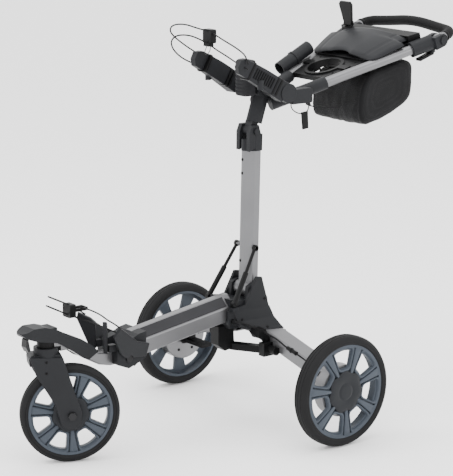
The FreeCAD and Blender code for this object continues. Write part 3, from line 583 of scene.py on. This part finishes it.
def make_grip():
    """The foam sleeve of the grip bow, with a raised seam ring near each end."""
    x0 = tube_x(CLAMP_AT)
    half = [on_handle(x0, 531.5, 0), on_handle(x0, 561.5, 0), at(104, 548, 1014), at(0, 550, 1026)]
    route = half + [Vector((-p.x, p.y, p.z)) for p in reversed(half[:3])]
    curve = bpy.data.curves.new("grip_sleeve", "CURVE")
    curve.dimensions = "3D"
    spline = curve.splines.new("NURBS")
    spline.points.add(len(route) - 1)
    for point, place in zip(spline.points, route):
        point.co = (*place, 1)
    spline.order_u = 3
    spline.use_endpoint_u = True
    spline.resolution_u = 24
    curve.bevel_depth = 0.014
    curve.bevel_resolution = 8
    curve.use_fill_caps = True
    sleeve = finish_piece(bpy.data.objects.new("grip_sleeve", curve), "grip_foam", "tilting_grip", ["grip"])
    for side, name in ((1, "left"), (-1, "right")):
        rings = []
        for v, r in ((530.5, 12.0), (530.8, 14.6), (532.0, 15.4),
                     (536.0, 15.4), (537.2, 14.6), (537.5, 12.0)):
            ring = []
            for i in range(48):
                a = 2 * math.pi * i / 48
                ring.append(on_handle(side * (x0 + r * math.cos(a)), v, r * math.sin(a)))
            rings.append(ring)
        points, faces = loft(rings)
        mesh_piece("grip_ring_" + name, points, faces, "black", "tilting_grip")


make_bag()
make_strap()
make_rest_pad()
make_grip()


# ---------------------------------------------------------------- hard details

def make_arm_details():
    """Dark bands around the upper arms and a ribbed panel on their outer sides."""
    reach, lift = Vector((-0.864, 0.503)), Vector((0.503, 0.864))
    root = Vector((4, 884))

    def spot(side, x, s, n):
        place = root + reach * s + lift * n
        return at(side * (x + 0.105 * (place.x + 3)), place.x, place.y)

    for side, name in ((1, "left"), (-1, "right")):
        parts = []
        for s0 in (33, 44, 128):
            rings = []
            for s, grow in ((s0, 0.2), (s0 + 0.6, 1.2), (s0 + 5.4, 1.2), (s0 + 6, 0.2)):
                outline = eased([(81 - grow, -25.5 - grow), (118 + grow, -25.5 - grow),
                                 (118 + grow, 22.5 + grow), (81 - grow, 22.5 + grow)], 0.18, 5)
                rings.append([spot(side, x, s, n) for x, n in outline])
            parts.append(loft(rings))
        for k in range(9):
            s0 = 58 + 7.4 * k
            rings = []
            for x in (116.5, 119.4):
                rings.append([spot(side, x, s, n) for s, n in
                              ((s0, -15), (s0 + 3.2, -15), (s0 + 3.2, 13), (s0, 13))])
            parts.append(loft(rings))
        points, faces = merge(parts)
        mesh_piece("arm_bands_" + name, points, faces, "black", "upper_section", smooth=False)


def make_screws(name, node, body, spots, direction, radius):
    """Domed screw heads where straight lines meet a node's surface."""
    shape = nodes[node]
    way = Vector(direction).normalized()
    to_local = shape.matrix_world.inverted()
    parts = []
    for place in spots:
        start = to_local @ (at(*place) - way * 0.4)
        hit, point, normal, _ = shape.ray_cast(start, to_local.to_3x3() @ way)
        if not hit:
            continue
        point = shape.matrix_world @ point
        side = normal.orthogonal().normalized()
        other = normal.cross(side)
        rings = []
        for r, h in ((1.0, -0.4), (1.0, 0.9), (0.86, 1.5), (0.52, 1.8), (0.48, 0.7), (0.05, 0.7)):
            ring = []
            for i in range(24):
                a = 2 * math.pi * i / 24
                out = side * math.cos(a) + other * math.sin(a)
                ring.append(point + out * r * radius * MM + normal * h * MM)
            rings.append(ring)
        parts.append(loft(rings))
    points, faces = merge(parts)
    mesh_piece(name, points, faces, "black", body)


def make_lid():
    """Domed lid over the tray, cut back round the cup ring and lapping over the tubes."""
    columns, rows = 45, 26
    top, bottom = [], []
    for i in range(columns):
        u = 2 * i / (columns - 1) - 1
        for j in range(rows):
            t = j / (rows - 1)
            v = 303 + 130 * t
            half = tube_x(v) - 4 + 14 * min(1.0, t / 0.10) ** 0.5
            if t > 0.76:
                half -= 30 * min(1.0, (t - 0.76) / 0.06)
            x = u * half
            ring = 240 + math.sqrt(max(0.0, 74.0 ** 2 - x * x)) if abs(x) < 74 else 0
            v = max(v, ring + (433 - ring) * t * 0.999) if ring else v
            crown = 15 * (1 - u * u) + 12 * math.sin(math.pi * min(1.0, t * 1.15) * 0.5)
            lip = 5.0 * (1 - min(1.0, (1 - abs(u)) / 0.06)) ** 2
            height = 16.5 + crown - lip + 3.0 * min(1.0, t / 0.06) - 3.0
            height -= 1.6 * math.exp(-((abs(u) - 0.72) / 0.018) ** 2)
            top.append(on_handle(x, v, max(height, 15.6)))
            bottom.append(on_handle(x, v, max(min(height - 3.2, 13.2 + crown), 14.4)))
    count = len(top)
    faces = []
    for i in range(columns - 1):
        for j in range(rows - 1):
            a, b = i * rows + j, (i + 1) * rows + j
            faces.append((a, b, b + 1, a + 1))
            faces.append((count + a, count + a + 1, count + b + 1, count + b))
    rim = list(range(rows))
    rim += [i * rows + rows - 1 for i in range(1, columns)]
    rim += [(columns - 1) * rows + j for j in range(rows - 2, -1, -1)]
    rim += [i * rows for i in range(columns - 2, 0, -1)]
    for a, b in zip(rim, rim[1:] + rim[:1]):
        faces.append((a, b, count + b, count + a))
    mesh_piece("lid_dome", top + bottom, faces, "charcoal", "tray_lid", ["console_lid"])


make_lid()
make_arm_details()
make_screws("mast_screws", "mast", "mast_section",
            [(0, -38, 700), (0, -38, 664), (0, -38, 430)], (0, 1, 0), 4.0)
for side_name, sign in (("left", 1), ("right", -1)):
    make_screws("wing_screws_" + side_name, "housing_wings", "chassis",
                [(0, -92, 285), (0, -60, 262), (0, -20, 258), (0, -14, 330)], (-sign, 0, 0), 3.6)
    make_screws("motor_screws_" + side_name, "hub_motor_" + side_name, "rear_wheel_" + side_name,
                [(sign * 250, 46 * math.cos(k * math.pi / 3), 146 + 46 * math.sin(k * math.pi / 3))
                 for k in range(6)], (sign, 0, 0), 4.0)
make_screws("fork_screws", "fork", "steering_fork", [(0, -690, 268), (0, -690, 240)], (-1, 0, 0), 3.4)
make_screws("console_screws", "console", "upper_section",
            [(-62, 205, 900), (62, 205, 900), (-70, 275, 930), (70, 275, 930)], (0, 0.3, -1), 3.0)
make_cord("hook_wire_upper", [(-66, -119, 1003), (-66, -122, 994), (-66, -128, 984), (-62, -131, 976),
                              (-56, -130, 974), (-52, -126, 980), (-52, -120, 990), (-54, -119, 1003)],
          0.0011, None, "upper_section", "steel")
